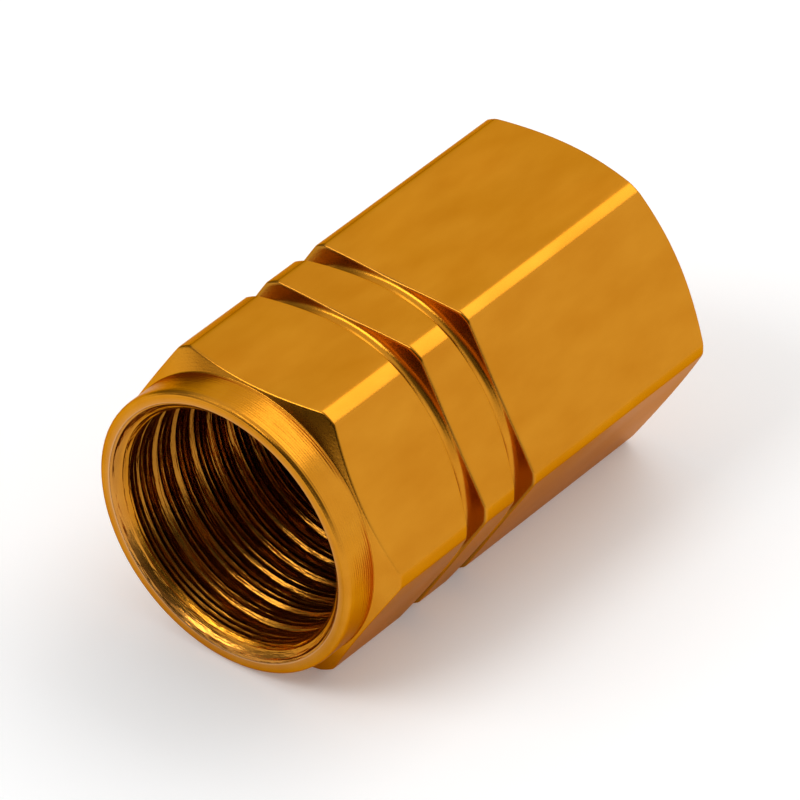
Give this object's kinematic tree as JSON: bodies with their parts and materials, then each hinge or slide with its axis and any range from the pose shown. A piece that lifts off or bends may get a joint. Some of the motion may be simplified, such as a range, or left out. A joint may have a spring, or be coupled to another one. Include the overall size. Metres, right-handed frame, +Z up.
{
  "type": "tyre valve cap",
  "caption": "Closed hexagonal aluminium cap with a threaded bore and a rubber washer; it screws over the end of a tyre valve to keep dirt out and air in.",
  "frame": {"origin": "on the thread's axis in the plane of the mouth, at the open end of the bore", "axes": "+Y from the mouth to the closed crown along the axis, +Z up with the cap lying on one of its six flats, +X to the right seen from the mouth"},
  "size_m": [0.0104, 0.0158, 0.0092],
  "materials": {
    "anodised_aluminium": "gold anodised, satin flats and turned neck",
    "washer_rubber": "black moulded rubber"
  },
  "bodies": {
    "root": {"cap_body": "anodised_aluminium", "sealing_washer": "washer_rubber"}
  },
  "joints": []
}
